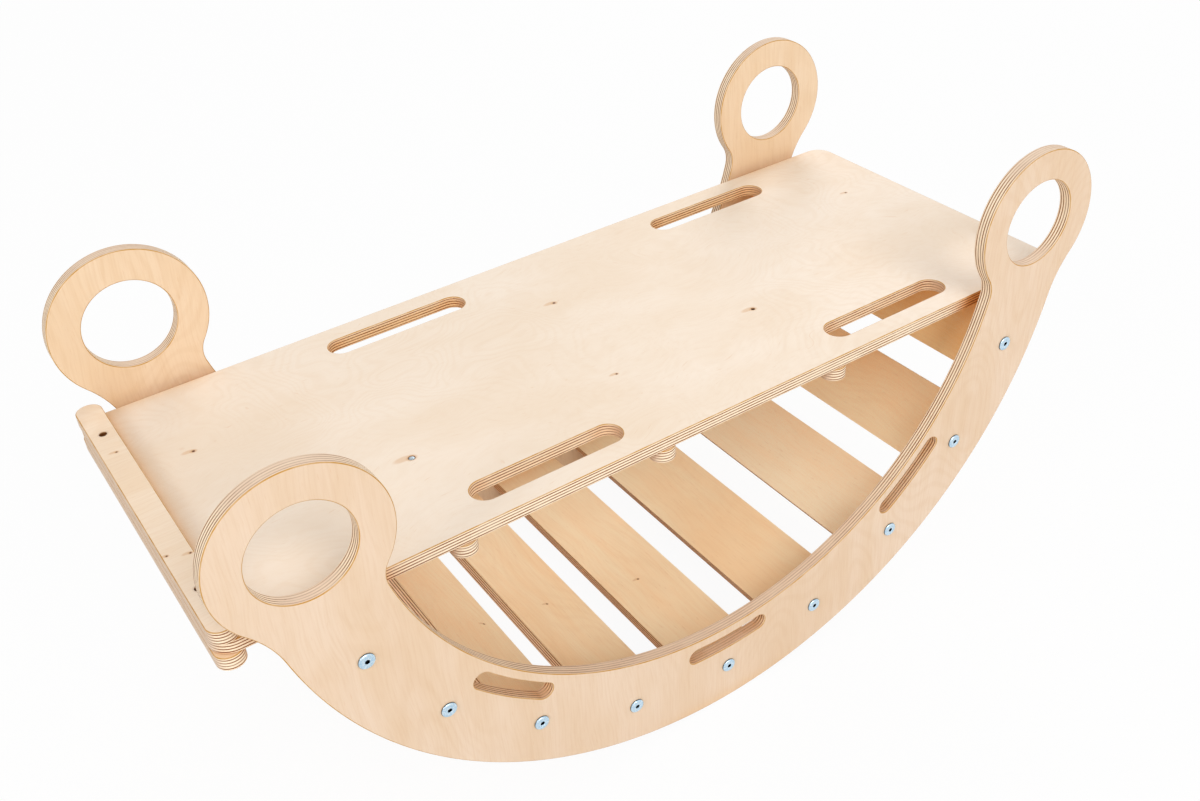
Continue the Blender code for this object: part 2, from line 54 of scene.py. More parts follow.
CENTRE_HEIGHT = 0.4935          # centre of the runners' arcs above the floor
RUNNER_RADIUS = CENTRE_HEIGHT   # rocking edge, which touches the floor
BOLT_CIRCLE_RADIUS = 0.443
INNER_RADIUS = 0.387
INNER_CENTRE_RISE = 0.004
HAND_SLOT_RADIUS = 0.40475
HAND_SLOT_WIDTH = 0.0195
HAND_SLOT_LENGTH = 0.107
HAND_SLOT_ANGLE = 41.75
RING_ANGLE = 86.03              # ring centres from straight down
RING_CENTRE_RADIUS = 0.4395
RING_RADIUS = 0.085
RING_HOLE_RADIUS = 0.050
OUTER_FILLET = 0.120
INNER_FILLET = 0.032
SLAT_COUNT = 9
SLAT_PITCH = 16.7
SLAT_WIDTH = 0.091
PLY_STACK = 0.015               # thickness of every wooden piece
CLEARANCE = 0.0003

# What holds the slats

DOWEL_RADIUS = 0.004
DOWEL_OFFSET = 0.030
DOWEL_LENGTH = 0.0097           # out of the slat's end
BOLT_SHANK_RADIUS = 0.003
BOLT_BORE_RADIUS = 0.0036
BOLT_HEAD_RADIUS = 0.0085
BOLT_HEAD_HEIGHT = 0.002
BOLT_LENGTH = 0.060
BOLT_SPIN = 37                  # degrees from one slat's socket to the next one's
SIDE_SPIN = 11                  # degrees more on the far side, fewer on the near one
SOCKET_RADIUS = 0.0027          # hexagonal, to its corners
SOCKET_DEPTH = 0.0030
SOCKET_TIP = [(0.0, 0.0012), (0.5, 0.0006)]     # share of the radius, depth below the socket's floor
SOCKET_ARRIS = 0.0001
SOCKET_LAND = 0.0007            # flat ring round the socket
HEAD_DOME = [(0.0016, 0.0), (0.0013, 0.00008), (0.0007, 0.0004),     # inset and drop from the head's rim
             (0.0002, 0.0009), (0.0, 0.0014)]
NUT_RADIUS = 0.005
NUT_INSET = 0.035
NUT_LENGTH = 0.0115
NUT_SKIN = 0.0022               # wood left above a barrel nut
NUT_SINK = 0.001                # its outer end, inside the slat's lower face
NUT_CHAMFER = 0.0005
NUT_SLOT_WIDTH = 0.0014
NUT_SLOT_DEPTH = 0.0012

# Board

BOARD_CORNER_RADIUS = 0.022
GRIP_SLOT_LENGTH = 0.173
GRIP_SLOT_WIDTH = 0.0325
GRIP_SLOT_WALL = 0.0262
GRIP_SLOT_SPACING = 0.4515
BATTEN_SCREW_INSET = 0.063
SCREW_HEAD_RADIUS = 0.0038
SCREW_HEAD_HEIGHT = 0.0014
SCREW_HEAD_EDGE = [(0.0002, 0.0), (0.0, 0.0003), (0.0004, 0.0012), (0.0010, 0.0014)]   # inset, height
SCREW_SHANK_RADIUS = 0.002
SCREW_POINT = 0.004
SCREW_PITCH = 0.0016
SCREW_FLANK = 0.0004            # half of a thread's foot
SCREW_CORE = 0.72               # share of the shank's radius
SCREW_BITE = 0.010
RECESS_LENGTH = 0.0042          # cross recess of a screw, across its head
RECESS_WIDTH = 0.0010
RECESS_HEIGHT = 0.0016          # half of it in the head
BATTEN_COUNTERBORE = 0.006
RUNG_COUNTERBORE = 0.004
SCREW_TIP = (-0.268, -0.071)    # where a rung screw's point shows in the board's top
SCREW_TIP_RADIUS = 0.0034
SCREW_TIP_PROFILE = [(0, -0.0009), (0.0031, -0.0009), (0.0030, -0.0003), (0.00204, 0.0001),
                     (0.00068, 0.0003), (0, 0.0003)]     # radius, height above the board's top
SCREW_TIP_BED = 0.0012          # depth of the dimple round the point
SCREW_TIP_RIM = 0.0005          # how much wider the dimple is at its top
PILOT_HOLE = (0.171, -0.068)    # stray pilot hole in the board's top
PILOT_HOLE_RADIUS = 0.0024
PILOT_HOLE_DEPTH = 0.003
PILOT_HOLE_POINT = 0.0005       # depth of the drill's point below that
PILOT_HOLE_TAPER = 0.6          # share of its radius left at the bottom

# Finish

ARRIS = 0.0013                  # rounding of the routed edges
ARRIS_STEPS = 4
BEVEL_STEPS = 3                 # same, where a Bevel modifier rounds them
BEVEL_ANGLE = 60.0              # sharpest bend that it leaves alone
SHARP_ANGLE = 35.0              # bends above it stay crisp in metal
ARC_STEP = 1.2                  # degrees, long arcs
SMALL_ARC_STEP = 3.0            # degrees, rings and slot ends
PLY_COUNT = 9
WELD_DISTANCE = 4e-6            # points closer than this become one
BORE_STEP = 12.0                # degrees round a bore
BORE_SIDES = 32                 # sides of a bore or dowel made by a Boolean
HEAD_SIDES = 48                 # sides of a bolt or nut
SCREW_SIDES = 24
POINT_SIDES = 32

# Camera and stage

CAMERA_PLACE = (-0.6434, -1.0453, 1.1550)
CAMERA_TURN = (54.749, 3.484, -34.059)
CAMERA_LENS = 38.85             # on a sensor 36 mm wide
FLOOR_SIZE = 14.0
FLOOR_TONE = 0.85
FLOOR_ROUGHNESS = 0.9
FLOOR_GLOW = 0.94               # how white the floor looks; the rest shows its shadow
WORLD_LIGHT = 0.56
LAMPS = [                       # name, place, target, size, power
    ("key", (-4.6, -1.6, 3.3), (0.0, 0.0, 0.3), 1.6, 56.0),
    ("front", (-0.4, -4.4, 3.6), (0.0, 0.0, 0.2), 3.0, 124.0),
    ("back", (3.4, 3.4, 3.6), (0.0, 0.0, 0.2), 3.0, 74.0),
]


def srgb(red, green, blue):
    """Linear colour from the 0 to 255 values that a picture shows."""
    linear = []
    for value in (red / 255, green / 255, blue / 255):
        linear.append(value / 12.92 if value <= 0.04045 else ((value + 0.055) / 1.055) ** 2.4)
    return (*linear, 1.0)


# Outlines


def polar(angle, radius):
    """Point at an angle in radians from straight down, turning towards +X."""
    return Vector((radius * math.sin(angle), -radius * math.cos(angle)))


def heading(centre, point):
    """Direction from centre to point, in radians."""
    return math.atan2(point.y - centre.y, point.x - centre.x)


def arc(centre, radius, start, turn, step=SMALL_ARC_STEP):
    """Points along an arc from the angle start, both ends included. Angles in radians."""
    count = max(1, math.ceil(abs(math.degrees(turn)) / step))
    angles = [start + turn * i / count for i in range(count + 1)]
    return [centre + radius * Vector((math.cos(a), math.sin(a))) for a in angles]


def fillet_centre(centre_a, reach_a, centre_b, reach_b):
    """Point reach_a from centre_a and reach_b from centre_b, on the lower side of the line between."""
    between = centre_b - centre_a
    span = between.length
    along = (reach_a ** 2 - reach_b ** 2 + span ** 2) / (2 * span)
    aside = math.sqrt(reach_a ** 2 - along ** 2)
    direction = between / span
    return centre_a + along * direction - aside * Vector((-direction.y, direction.x))


def panel_outline():
    """Outer edge of a side panel about the runner's centre, counter-clockwise."""
    runner = Vector((0.0, 0.0))
    inner = Vector((0.0, INNER_CENTRE_RISE))
    ring = polar(math.radians(RING_ANGLE), RING_CENTRE_RADIUS)
    outer_fillet = fillet_centre(runner, RUNNER_RADIUS + OUTER_FILLET, ring, RING_RADIUS + OUTER_FILLET)
    inner_fillet = fillet_centre(inner, INNER_RADIUS - INNER_FILLET, ring, RING_RADIUS + INNER_FILLET)

    runner_end = heading(runner, outer_fillet)
    rocking_edge = arc(runner, RUNNER_RADIUS, -math.pi - runner_end, math.pi + 2 * runner_end, ARC_STEP)
    fillet_start = heading(outer_fillet, runner)
    fillet_turn = heading(outer_fillet, ring) - fillet_start % (2 * math.pi)
    outer = arc(outer_fillet, OUTER_FILLET, fillet_start, fillet_turn)
    ring_start = heading(ring, outer_fillet)
    grip = arc(ring, RING_RADIUS, ring_start, heading(ring, inner_fillet) % (2 * math.pi) - ring_start)
    inner_end = heading(inner, inner_fillet)
    waist_start = heading(inner_fillet, ring)
    waist = arc(inner_fillet, INNER_FILLET, waist_start, inner_end - waist_start)
    cradle = arc(inner, INNER_RADIUS, inner_end, -math.pi - 2 * inner_end, ARC_STEP)

    right = outer[1:] + grip[1:] + waist[1:]
    left = [Vector((-p.x, p.y)) for p in reversed(outer[:-1] + grip[:-1] + waist[:-1])]
    return rocking_edge + right + cradle[1:] + left[:-1]


def circle(centre, radius, step=SMALL_ARC_STEP):
    """Clockwise loop round a hole."""
    return arc(centre, radius, 0.0, -2 * math.pi, step)[:-1]


def hand_slot(angle):
    """Clockwise loop of a slot with round ends that follows the runner's curve."""
    half_width = HAND_SLOT_WIDTH / 2
    reach = (HAND_SLOT_LENGTH - HAND_SLOT_WIDTH) / 2 / HAND_SLOT_RADIUS
    middle = math.radians(angle) - math.pi / 2
    centre = Vector((0.0, 0.0))
    outer = arc(centre, HAND_SLOT_RADIUS + half_width, middle + reach, -2 * reach, ARC_STEP)
    inner = arc(centre, HAND_SLOT_RADIUS - half_width, middle - reach, 2 * reach, ARC_STEP)
    left_end = arc(polar(math.radians(angle) - reach, HAND_SLOT_RADIUS), half_width, middle - reach, -math.pi)
    right_end = arc(polar(math.radians(angle) + reach, HAND_SLOT_RADIUS), half_width,
                    middle + reach + math.pi, -math.pi)
    return outer[:-1] + left_end[:-1] + inner[:-1] + right_end[:-1]


def stadium(centre, length, width, turn=0.0):
    """Counter-clockwise loop with round ends, its length at the angle turn in radians."""
    along = (length - width) / 2 * Vector((math.cos(turn), math.sin(turn)))
    start = arc(centre + along, width / 2, turn - math.pi / 2, math.pi)
    return start + arc(centre - along, width / 2, turn + math.pi / 2, math.pi)


def rounded_rectangle(half_length, half_width, radius):
    """Counter-clockwise loop of a rectangle with round corners."""
    loop = []
    for turn, x, y in ((-0.5, 1, -1), (0.0, 1, 1), (0.5, -1, 1), (1.0, -1, -1)):
        corner = Vector((x * (half_length - radius), y * (half_width - radius)))
        loop += arc(corner, radius, turn * math.pi, math.pi / 2)
    return loop


def outward(loop):
    """Unit normals of a closed loop, away from the wood on its left."""
    normals = []
    for i, point in enumerate(loop):
        before = (point - loop[i - 1]).normalized()
        after = (loop[(i + 1) % len(loop)] - point).normalized()
        way = (before + after).normalized()
        normals.append(Vector((way.y, -way.x)))
    return normals


# Meshes


class Plate:
    """Flat plate about z = 0, with the exact normal of every face corner, so that flat faces stay flat."""

    def __init__(self, thickness):
        self.half = thickness / 2
        self.points = []
        self.faces = []
        self.normals = []
        self.rims = {-1: [], 1: []}

    def ring(self, points):
        """Add points and give their numbers."""
        first = len(self.points)
        self.points += points
        return list(range(first, len(self.points)))

    def face(self, corners, normals):
        """Add a face with a normal for each corner."""
        self.faces.append(corners)
        self.normals += normals

    def strip(self, low, high, low_normals, high_normals):
        """Quads from one closed ring to the next."""
        for i in range(len(low)):
            j = (i + 1) % len(low)
            self.face((low[i], low[j], high[j], high[i]),
                      [low_normals[i], low_normals[j], high_normals[j], high_normals[i]])

    def wall(self, loop):
        """Wall along a loop, with both of its arrises rounded."""
        sideways = outward(loop)
        tilts = [math.pi / 2 * i / ARRIS_STEPS for i in range(ARRIS_STEPS + 1)]
        rows = [(-tilt, -1) for tilt in reversed(tilts)] + [(tilt, 1) for tilt in tilts]
        last = None
        for tilt, side in rows:
            inset = ARRIS * (1 - math.cos(tilt))
            height = side * (self.half - ARRIS) + ARRIS * math.sin(tilt)
            spots = [Vector((*(p - inset * n), height)) for p, n in zip(loop, sideways)]
            normals = [Vector((*(math.cos(tilt) * n), math.sin(tilt))) for n in sideways]
            ring = self.ring(spots)
            if last:
                self.strip(last[0], ring, last[1], normals)
            else:
                self.rims[-1].append(ring)
            last = (ring, normals)
        self.rims[1].append(last[0])

    def bore(self, centre, profile):
        """Turned hole. Its profile of radius and height runs upwards, and a radius of 0 closes an end."""
        last = None
        for number, (radius, height) in enumerate(profile):
            loop = circle(Vector(centre), max(radius, 1e-5), BORE_STEP)
            ring = self.ring([Vector((*p, height)) for p in loop])
            if number:
                rise = Vector((radius - last[1], height - last[2])).normalized()
                normals = [Vector((*(-rise.y * (p - Vector(centre)).normalized()), rise.x)) for p in loop]
                self.strip(last[0], ring, normals, normals)
            elif radius:
                self.rims[-1].append(ring)
            if radius == 0:
                flat = Vector((0, 0, -1 if number else 1))
                corners = ring if number else ring[::-1]
                self.face(tuple(corners[::-1]), [flat] * len(ring))
            last = (ring, radius, height)
        if last[1]:
            self.rims[1].append(last[0])

    def caps(self):
        """Fill both flat faces between the rims."""
        for side, rims in self.rims.items():
            bm = bmesh.new()
            edges = []
            numbers = []
            for rim in rims:
                verts = [bm.verts.new(self.points[i]) for i in rim]
                numbers += rim
                edges += [bm.edges.new((verts[i - 1], verts[i])) for i in range(len(verts))]
            bm.verts.index_update()
            bmesh.ops.triangle_fill(bm, edges=edges, use_beauty=True, use_dissolve=False, normal=(0, 0, side))
            for triangle in bm.faces:
                triangle.normal_update()
                corners = [numbers[v.index] for v in triangle.verts]
                if triangle.normal.z * side < 0:
                    corners.reverse()
                self.face(tuple(corners), [Vector((0, 0, side))] * len(corners))
            bm.free()

    def mesh(self, name):
        """Finished mesh."""
        self.caps()
        mesh = bpy.data.meshes.new(name)
        mesh.from_pydata(self.points, [], self.faces)
        mesh.shade_smooth()
        mesh.normals_split_custom_set([tuple(n) for n in self.normals])
        return mesh


def turned(profile, sides, corners_of=()):
    """Turned solid about Z. A profile row is radius and height, and corners_of rows are hexagons."""
    bm = bmesh.new()
    levels = []
    for number, (radius, height) in enumerate(profile):
        if radius == 0:
            levels.append([bm.verts.new((0, 0, height))])
            continue
        ring = []
        for i in range(sides):
            angle = 2 * math.pi * i / sides
            reach = radius
            if number in corners_of:
                reach = radius * math.cos(math.pi / 6) / math.cos(angle % (math.pi / 3) - math.pi / 6)
            ring.append(bm.verts.new((reach * math.cos(angle), reach * math.sin(angle), height)))
        levels.append(ring)
    for lower, upper in zip(levels, levels[1:]):
        for i in range(sides):
            j = (i + 1) % sides
            face = [lower[i % len(lower)], lower[j % len(lower)],
                    upper[j % len(upper)], upper[i % len(upper)]]
            bm.faces.new(list(dict.fromkeys(face)))
    return bm


def shape_object(bm):
    """Object from a bmesh of closed bodies."""
    bmesh.ops.recalc_face_normals(bm, faces=bm.faces)
    mesh = bpy.data.meshes.new("shape")
    bm.to_mesh(mesh)
    bm.free()
    obj = bpy.data.objects.new("shape", mesh)
    bpy.context.scene.collection.objects.link(obj)
    return obj


def carved(name, bm, joined=(), cuts=(), bevel=0.0):
    """Mesh of a body with shapes joined to it and cut from it, its arrises rounded by a bevel if given."""
    body = shape_object(bm)
    helpers = [body]
    for operation, tools in (("UNION", joined), ("DIFFERENCE", cuts)):
        for tool in tools:
            helper = shape_object(tool)
            helpers.append(helper)
            modifier = body.modifiers.new(operation, "BOOLEAN")
            modifier.operation = operation
            modifier.solver = "EXACT"
            modifier.object = helper
    body.modifiers.new("weld", "WELD").merge_threshold = WELD_DISTANCE
    if bevel:
        modifier = body.modifiers.new("arris", "BEVEL")
        modifier.width = bevel
        modifier.segments = BEVEL_STEPS
        modifier.limit_method = "ANGLE"
        modifier.angle_limit = math.radians(BEVEL_ANGLE)
        modifier.harden_normals = True
        body.modifiers.new("last_weld", "WELD").merge_threshold = WELD_DISTANCE
    for polygon in body.data.polygons:
        polygon.use_smooth = True
    graph = bpy.context.evaluated_depsgraph_get()
    mesh = bpy.data.meshes.new_from_object(body.evaluated_get(graph))
    mesh.name = name
    for helper in helpers:
        bpy.data.objects.remove(helper)
    if not bevel:
        mesh.shade_smooth()
        mesh.set_sharp_from_angle(angle=math.radians(SHARP_ANGLE))
    return mesh


def cylinder(radius, low, high, matrix):
    """Plain closed cylinder in a frame of its own."""
    bm = turned([(0, low), (radius, low), (radius, high), (0, high)], BORE_SIDES)
    bm.transform(matrix)
    return bm


def block(size, matrix=Matrix.Identity(4)):
    """Closed block about the middle of a frame."""
    bm = bmesh.new()
    bmesh.ops.create_cube(bm, size=1.0, matrix=matrix @ Matrix.Diagonal((*size, 1.0)))
    return bm


# Materials


def node(tree, kind, inputs=(), **settings):
    """Shader node with its settings and inputs. An input is a value or another node's output."""
    item = tree.nodes.new("ShaderNode" + kind)
    for key, value in settings.items():
        setattr(item, key, value)
    pairs = inputs.items() if isinstance(inputs, dict) else enumerate(inputs)
    for socket, value in pairs:
        if isinstance(value, bpy.types.NodeSocket):
            tree.links.new(value, item.inputs[socket])
        else:
            item.inputs[socket].default_value = value
    return item


def maths(tree, operation, *inputs):
    """Output of a Math node."""
    return node(tree, "Math", inputs, operation=operation).outputs[0]


def times(tree, first, second, third):
    """Product of three values."""
    return maths(tree, "MULTIPLY", maths(tree, "MULTIPLY", first, second), third)


def vectors(tree, operation, *inputs):
    """Vector output of a Vector Math node."""
    return node(tree, "VectorMath", inputs, operation=operation).outputs["Vector"]


def noise(tree, point, scales, detail):
    """Noise value at a point, its scales in waves per metre along each axis."""
    spot = vectors(tree, "MULTIPLY", point, scales)
    item = node(tree, "TexNoise", {"Vector": spot, "Scale": 1.0, "Detail": detail})
    return item.outputs[0]


def ramp(tree, value, low, high, start=0.0, end=1.0):
    """Smooth step from start to end as the value goes from low to high."""
    item = node(tree, "MapRange", {"Value": value, "From Min": low, "From Max": high, "To Min": start,
                                   "To Max": end}, interpolation_type="SMOOTHSTEP")
    return item.outputs["Result"]


def mixed(tree, factor, first, second, mode="MIX"):
    """Colour between two others."""
    item = node(tree, "Mix", {0: factor, 6: first, 7: second}, data_type="RGBA", blend_type=mode)
    return item.outputs[2]


def spot_mask(tree, point, centre, size):
    """Mask that is 1 in the middle of an ellipse and fades to 0 at its rim."""
    away = vectors(tree, "SUBTRACT", point, (*centre, 0.0))
    scaled = vectors(tree, "DIVIDE", away, (*size, 1.0))
    distance = node(tree, "VectorMath", [scaled], operation="LENGTH").outputs["Value"]
    return ramp(tree, distance, 0.45, 1.0, 1.0, 0.0)


# Scales of noises, in waves per metre along the grain, across it and through the plies
WARP = (5.0, 7.0, 1.0)
FIGURE_PATCHES = (4.0, 4.0, 4.0)
MOTTLE = (5.0, 8.0, 1.0)
FLECKS = (75.0, 620.0, 1.0)
WEAR = (60.0, 60.0, 60.0)
PLY_PATCHES = (26.0, 26.0, 7.3)
PLY_SPECKLE = (260.0, 260.0, 900.0)
PLY_VOIDS = (110.0, 110.0, 5.1)
METAL_FILM = (500.0, 500.0, 500.0)
SCRATCHES = (400.0, 6000.0, 900.0)

# Figure of a veneer: how far the warp sways it, then scales along and across the grain, and strengths
RINGS = 230.0                   # turns of the sine that draws the growth rings, per unit of its field
FLECK_SHARE = 0.22
Figure = namedtuple("Figure", "sway field field_detail fine broad broad_share lines grain")
STRAIGHT = Figure((0.05, 0.035), (2.4, 6.5), 1.0, (26.0, 480.0), (3.0, 42.0), 0.4, 0.0, 1.0)
WHORLED = Figure((0.17, 0.175), (5.6, 4.2), 2.0, (70.0, 260.0), (8.0, 20.0), 0.2, 0.035, 0.6)

# Finish of the surfaces
HOLE_RIM_AND_SHADE_REACH = 1.6                # dark rim of a hole and painted shade inside it, in radii of the hole
WOOD_SPECULAR = 0.22
WOOD_ROUGHNESS = (0.42, 0.54)   # between the fine grain's bands
CUT_ROUGHNESS = 0.18            # more of it on a cut edge
PORE_RELIEF = 0.7
CROSS_PLY_RELIEF = -0.15
SOCKET_SHADE_HEIGHT = 0.0008           # over which the painted shade of a socket sets in
METAL_ROUGHNESS = (-0.06, 0.10)     # how far the scratches change it

# Painted shade where wood is enclosed: how far the look-up for open air reaches, the levels of it at
# which the tint is full and gone, and the tints of a face and of a cut edge
Shade = namedtuple("Shade", "reach closed free face edge")
PAINTED_SHADE_PLIES = 0.42           # painted shade: how much darker its cross plies get there
BAR_SHADE = Shade(0.03, 0.35, 0.9, (252, 240, 218), (226, 168, 98))
PANEL_SHADES = {"near": Shade(0.03, 0.35, 0.9, (252, 240, 218), (222, 172, 86)),
                "far": Shade(0.03, 0.35, 0.9, (255, 250, 240), (222, 172, 86))}
SLAT_SHADE = Shade(0.30, 0.16, 0.58, (255, 196, 122), (255, 244, 230))
BOARD_SHADE = Shade(0.035, 0.40, 0.95, (238, 210, 166), (226, 170, 104))

# Pale, warm and streaked tones of the veneers
PANEL_TONES = {"near": ((238, 213, 188), (232, 203, 172), (215, 175, 132)),
               "far": ((244, 218, 187), (238, 207, 170), (218, 178, 130))}
SLAT_TONES = {0: ((255, 236, 200), (255, 224, 182), (234, 188, 136)),   # every slat not named here
              4: ((254, 233, 196), (252, 220, 176), (230, 183, 130)),
              7: ((255, 240, 210), (255, 230, 194), (236, 196, 148)),
              # Slat 9 is deeper and more golden: painted shade of the board above it
              9: ((255, 230, 182), (252, 216, 160), (228, 178, 116))}
BOARD_TONES = ((247, 231, 213), (242, 222, 199), (228, 196, 160))
BAR_TONES = ((249, 229, 206), (243, 218, 189), (227, 190, 152))
PLAIN_EDGE = ((255, 255, 255), (255, 255, 255))
# The slats' cut edges are darker towards the bottom: painted shade
SLAT_EDGE_PAINTED_SHADE = ((255, 238, 226), (255, 246, 230))

LONG_GRAIN = srgb(254, 236, 208)
FACE_PLY_END = srgb(232, 206, 182)
CROSS_PLY_RIM = srgb(218, 150, 88)
CROSS_PLY_END = srgb(110, 52, 14)
ARRIS_TONE = srgb(198, 145, 64)
KNOT_DARK = srgb(92, 44, 12)
KNOT_HALO = srgb(216, 166, 112)
# Dark rim of a hole, and painted shade that deepens inside it
HOLE_RIM_AND_SHADE = srgb(70, 42, 22)
# Painted shade on the walls of the board's grip slots
SLOT_WALL_PAINTED_SHADE = srgb(246, 230, 204)
# Painted shade on the sides of a bolt head and in its socket
HEAD_SIDE_PAINTED_SHADE = srgb(56, 72, 90)
SOCKET_PAINTED_SHADE = srgb(24, 26, 32)

# Flame, halo and heart of a knot: offset and half size in radii of the knot, strength, colour
KNOT_LAYERS = [((-2.6, 1.0), (4.6, 1.9), 0.45, KNOT_HALO),
               ((0.0, 0.0), (2.6, 2.0), 0.60, KNOT_HALO),
               ((0.0, 0.0), (1.15, 1.1), 1.0, KNOT_DARK)]

# Knots as x, y and radius. Those of the board are in the world's axes, the others in the piece's own
SLAT_KNOTS = {3: [(0.0265, -0.0682, 0.0011)], 4: [(0.0001, -0.0487, 0.0011)], 5: [(-0.0040, -0.0636, 0.0012)]}
BOARD_KNOTS = [(-0.440, 0.080, 0.0020), (0.002, 0.090, 0.0021), (-0.025, -0.078, 0.0014),
               (0.450, 0.080, 0.0015), (*SCREW_TIP, 0.0030), (*PILOT_HOLE, 0.0024)]
BATTEN_KNOTS = [(0.002, 0.103, 0.0013), (-0.009, -0.084, 0.0012), (0.010, -0.093, 0.0013)]


class Wood:
    """Look of one piece of birch plywood.

    tones: pale, warm and streaked tone of its veneer, whose grain runs along the axis grain.
    strength: how strongly the figure, a Figure, shows. The seed is its place in the noise.
    shade: the painted shade where it is enclosed, a Shade.
    knots, holes: rows of x, y and radius on its top face. A hole has a dark rim, and painted shade that
    deepens inside it.
    edge: tints of its cut plies, below and above. On the slats the darker lower tint is painted shade.
    slots_within: half sizes of the middle region whose slot walls get painted shade, or None.
    """

    def __init__(self, tones, grain, seed, strength, shade, knots=(), holes=(), edge=PLAIN_EDGE,
                 slots_within=None, figure=STRAIGHT):
        self.pale, self.warm, self.streak = [srgb(*tone) for tone in tones]
        self.grain = grain
        self.seed = seed
        self.strength = strength
        self.shade = shade
        self.knots = knots
        self.holes = holes
        self.edge = [srgb(*tint) for tint in edge]
        self.slots_within = slots_within
        self.figure = figure


def face_colour(tree, wood, point, flat_point, facing_up):
    """Colour of the veneer with its figure, fine grain and knots, and the fine grain itself."""
    style = wood.figure
    warp = vectors(tree, "MULTIPLY", point, WARP)
    bend = node(tree, "TexNoise", {"Vector": warp, "Scale": 1.0, "Detail": 2.0}).outputs["Color"]
    centred = vectors(tree, "SUBTRACT", bend, (0.5, 0.5, 0.5))
    bent = vectors(tree, "ADD", point, vectors(tree, "MULTIPLY", centred, (*style.sway, 0.0)))
    field = noise(tree, bent, (*style.field, 1.0), style.field_detail)
    lines = ramp(tree, maths(tree, "SINE", maths(tree, "MULTIPLY", field, RINGS)), -0.2, 1.0)
    shown = ramp(tree, noise(tree, point, FIGURE_PATCHES, 1.0), 0.38, 0.62, 0.25, 1.0)
    fine = noise(tree, bent, (*style.fine, 1.0), 3.0)
    broad = noise(tree, bent, (*style.broad, 1.0), 3.0)
    mottle = noise(tree, point, MOTTLE, 3.0)
    flecks = ramp(tree, noise(tree, bent, FLECKS, 1.0), 0.66, 0.80)

    patches = maths(tree, "ADD", maths(tree, "MULTIPLY", mottle, 1.0 - style.broad_share),
                    maths(tree, "MULTIPLY", broad, style.broad_share))
    colour = mixed(tree, ramp(tree, patches, 0.34, 0.66), wood.pale, wood.warm)
    waves = times(tree, lines, shown, 0.13 * wood.strength + style.lines)
    grain = ramp(tree, fine, 0.40, 0.72, 0.0, (0.07 + 0.12 * wood.strength) * style.grain)
    colour = mixed(tree, waves, colour, wood.streak)
    colour = mixed(tree, grain, colour, wood.streak)
    colour = mixed(tree, maths(tree, "MULTIPLY", flecks, FLECK_SHARE), colour, KNOT_HALO)
    for x, y, radius in wood.knots:
        for offset, size, strength, tone in KNOT_LAYERS:
            centre = (x + offset[0] * radius, y + offset[1] * radius)
            spot = spot_mask(tree, flat_point, centre, (size[0] * radius, size[1] * radius))
            colour = mixed(tree, times(tree, spot, strength, facing_up), colour, tone)
    return colour, fine


def edge_colour(tree, wood, point, height, normal):
    """Colour of the cut plies, and where a cross ply shows its end grain.

    A ply shows its end grain where the cut runs across its own grain.
    """
    share = maths(tree, "ADD", maths(tree, "DIVIDE", height, PLY_STACK), 0.5)
    layer = maths(tree, "MULTIPLY", share, PLY_COUNT)
    # Every second ply lies across the face plies. Its middle is at 0.75 of a pair of plies.
    pair = maths(tree, "FRACT", maths(tree, "MULTIPLY", layer, 0.5))
    off_middle = maths(tree, "ABSOLUTE", maths(tree, "SUBTRACT", pair, 0.75))
    cross_ply = ramp(tree, off_middle, 0.09, 0.17, 1.0, 0.0)
    cross_rim = ramp(tree, off_middle, 0.16, 0.26, 0.9, 0.0)
    number = maths(tree, "FLOOR", layer)
    along = maths(tree, "POWER", normal.outputs[wood.grain], 2.0)
    wander = vectors(tree, "ADD", point, node(tree, "CombineXYZ", [0.0, 0.0, number]).outputs[0])
    patches = ramp(tree, noise(tree, wander, PLY_PATCHES, 2.0), 0.30, 0.62, 0.70, 1.0)
    speckle = noise(tree, wander, PLY_SPECKLE, 2.0)
    face_end = maths(tree, "MULTIPLY", ramp(tree, along, 0.40, 0.90), patches)
    cross_end = maths(tree, "MULTIPLY", ramp(tree, along, 0.45, 0.98, 1.0, 0.52), patches)
    face_plies = mixed(tree, face_end, LONG_GRAIN, FACE_PLY_END)
    face_plies = mixed(tree, maths(tree, "MULTIPLY", cross_rim, cross_end), face_plies, CROSS_PLY_RIM)
    cross_plies = mixed(tree, cross_end, LONG_GRAIN, CROSS_PLY_END)
    colour = mixed(tree, cross_ply, face_plies, cross_plies)
    colour = mixed(tree, ramp(tree, speckle, 0.50, 0.75, 0.0, 0.07), colour, CROSS_PLY_END)
    ends = maths(tree, "MULTIPLY", cross_ply, cross_end)
    voids = ramp(tree, noise(tree, wander, PLY_VOIDS, 1.0), 0.74, 0.79)
    colour = mixed(tree, maths(tree, "MULTIPLY", voids, ends), colour, KNOT_DARK)
    # Tint from the bottom up; on the slats the darker lower one is painted shade
    tint = mixed(tree, ramp(tree, height, -0.001, 0.004), *wood.edge)
    return mixed(tree, 1.0, colour, tint, "MULTIPLY"), ends


